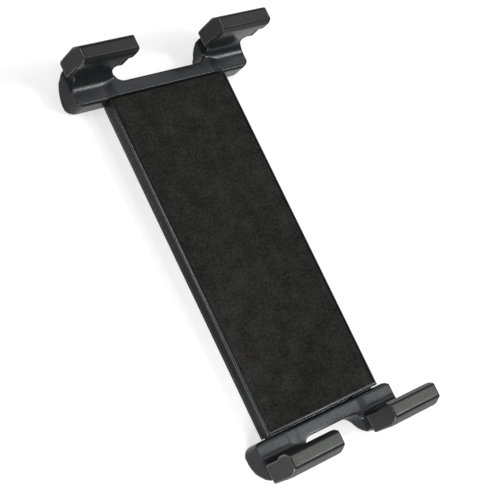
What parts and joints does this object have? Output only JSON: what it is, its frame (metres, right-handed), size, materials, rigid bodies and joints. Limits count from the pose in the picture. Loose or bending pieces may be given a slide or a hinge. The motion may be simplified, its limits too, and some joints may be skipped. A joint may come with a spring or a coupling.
{
  "type": "tablet holder",
  "caption": "Flat padded holder that grips a tablet between a fixed jaw and a spring-returned sliding jaw, each with rubber-headed hooks; stand thread in its back.",
  "frame": {"origin": "mouth of the stand thread, in the middle of the flat back", "axes": "+X across the holder, +Y along it towards the fixed jaw, +Z out of the padded face"},
  "size_m": [0.0954, 0.177, 0.0296],
  "materials": {
    "housing": "satin moulded",
    "jaw": "satin moulded",
    "grip": "matt rubber",
    "pad": "brushed foam pad",
    "bush": "turned",
    "glide": "low friction",
    "steel": "brushed",
    "dark_steel": "blackened",
    "spring_steel": "drawn wire",
    "screw_steel": "blackened"
  },
  "bodies": {
    "holder": {"rear_housing": "housing", "front_housing": "housing", "face_pad": "pad", "stand_bush": "bush", "right_glide": "glide", "left_glide": "glide", "right_spring": "spring_steel", "left_spring": "spring_steel", "spring_anchor_pins": "steel", "housing_screws": "screw_steel", "upper_jaw_front": "jaw", "upper_jaw_cover": "jaw", "upper_jaw_screws": "screw_steel", "upper_right_grip": "grip", "upper_left_grip": "grip"},
    "sliding_jaw": {"lower_jaw_front": "jaw", "lower_jaw_cover": "jaw", "lower_jaw_screws": "screw_steel", "lower_left_grip": "grip", "lower_right_grip": "grip", "slide_tongue": "dark_steel", "tongue_screws": "screw_steel", "spring_lug_pins": "steel"}
  },
  "joints": [
    {"name": "jaw_slide", "type": "slide", "parent": "holder", "child": "sliding_jaw", "axis": [0, -1, 0], "range_m": [0, 0.06], "stiffness_N_per_m": 120, "springref_m": -0.05, "deforming": ["left_spring", "right_spring"]}
  ]
}
